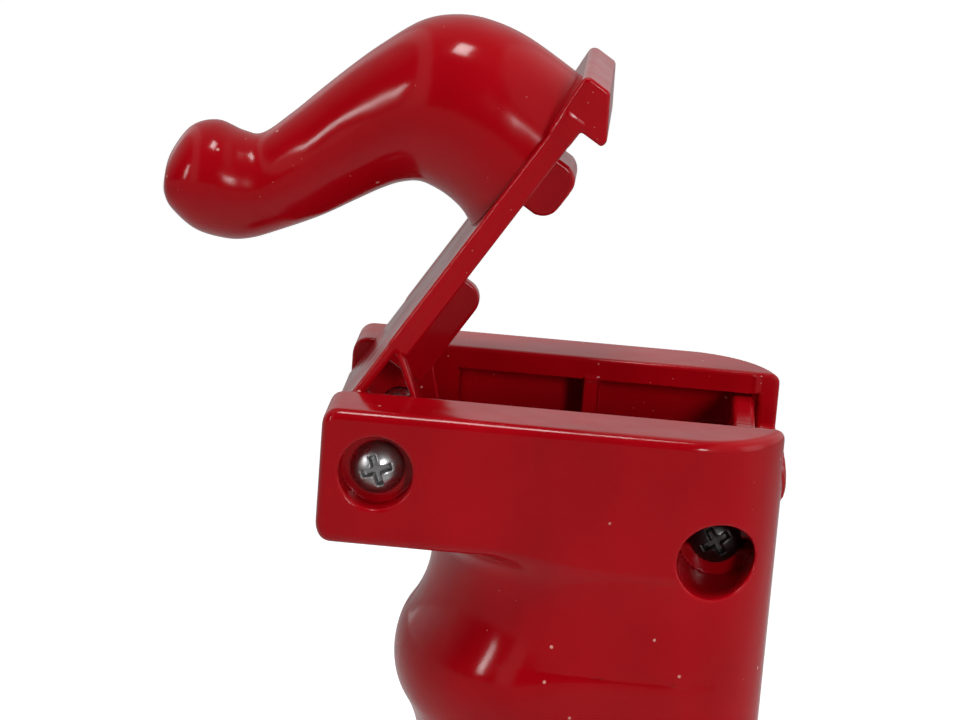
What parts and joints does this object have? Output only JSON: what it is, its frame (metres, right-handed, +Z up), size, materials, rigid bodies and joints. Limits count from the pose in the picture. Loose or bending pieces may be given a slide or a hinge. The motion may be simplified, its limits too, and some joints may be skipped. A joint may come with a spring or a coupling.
{
  "type": "garlic press",
  "caption": "Hand-cranked garlic press: moulded red grip body, latched lid with horn handle over a hopper, vaned rotor, curved screen and pull-out drawer.",
  "frame": {"origin": "centre of the foot pad's underside, on the table", "axes": "+X from the hinge end to the straight back, +Y to the crank side, +Z up"},
  "size_m": [0.0754, 0.0676, 0.1445],
  "materials": {
    "red_plastic": "glossy injection-moulded ABS, deep red",
    "screw_steel": "bright plated steel",
    "sheet_steel": "pressed stainless sheet",
    "white_plastic": "satin moulded plastic",
    "bush_plastic": "natural acetal",
    "foot_rubber": "matt black rubber"
  },
  "bodies": {
    "housing": {"front_shell": "red_plastic", "rear_shell": "red_plastic", "hinge_screw": "screw_steel", "hinge_nut": "screw_steel", "shell_screws": "screw_steel", "front_bush": "bush_plastic", "rear_bush": "bush_plastic", "press_screen": "sheet_steel", "chute_front": "red_plastic", "chute_back": "red_plastic", "mash_funnel": "red_plastic", "base_plate": "red_plastic", "foot_pad": "foot_rubber"},
    "lid": {"lid": "red_plastic", "horn_handle": "red_plastic", "handle_screws": "screw_steel"},
    "crank": {"rotor": "white_plastic", "rotor_shaft": "screw_steel", "shaft_clip": "screw_steel", "crank_arm": "red_plastic", "crank_screw": "screw_steel", "knob_pin": "screw_steel"},
    "knob": {"crank_knob": "red_plastic"},
    "drawer": {"drawer": "red_plastic", "drawer_pull": "red_plastic"}
  },
  "joints": [
    {"name": "lid_hinge", "type": "hinge", "parent": "housing", "child": "lid", "pos_m": [-0.02345, 0, 0.0973], "axis": [0, 1, 0], "range_deg": [-18, 57.6]},
    {"name": "crank_turn", "type": "hinge", "parent": "housing", "child": "crank", "pos_m": [-0.001, 0, 0.074], "axis": [0, 1, 0], "continuous": true},
    {"name": "knob_spin", "type": "hinge", "parent": "crank", "child": "knob", "pos_m": [-0.001, 0.036, 0.04], "axis": [0, 1, 0], "continuous": true},
    {"name": "drawer_slide", "type": "slide", "parent": "housing", "child": "drawer", "axis": [1, 0, 0], "range_m": [0, 0.03]}
  ]
}
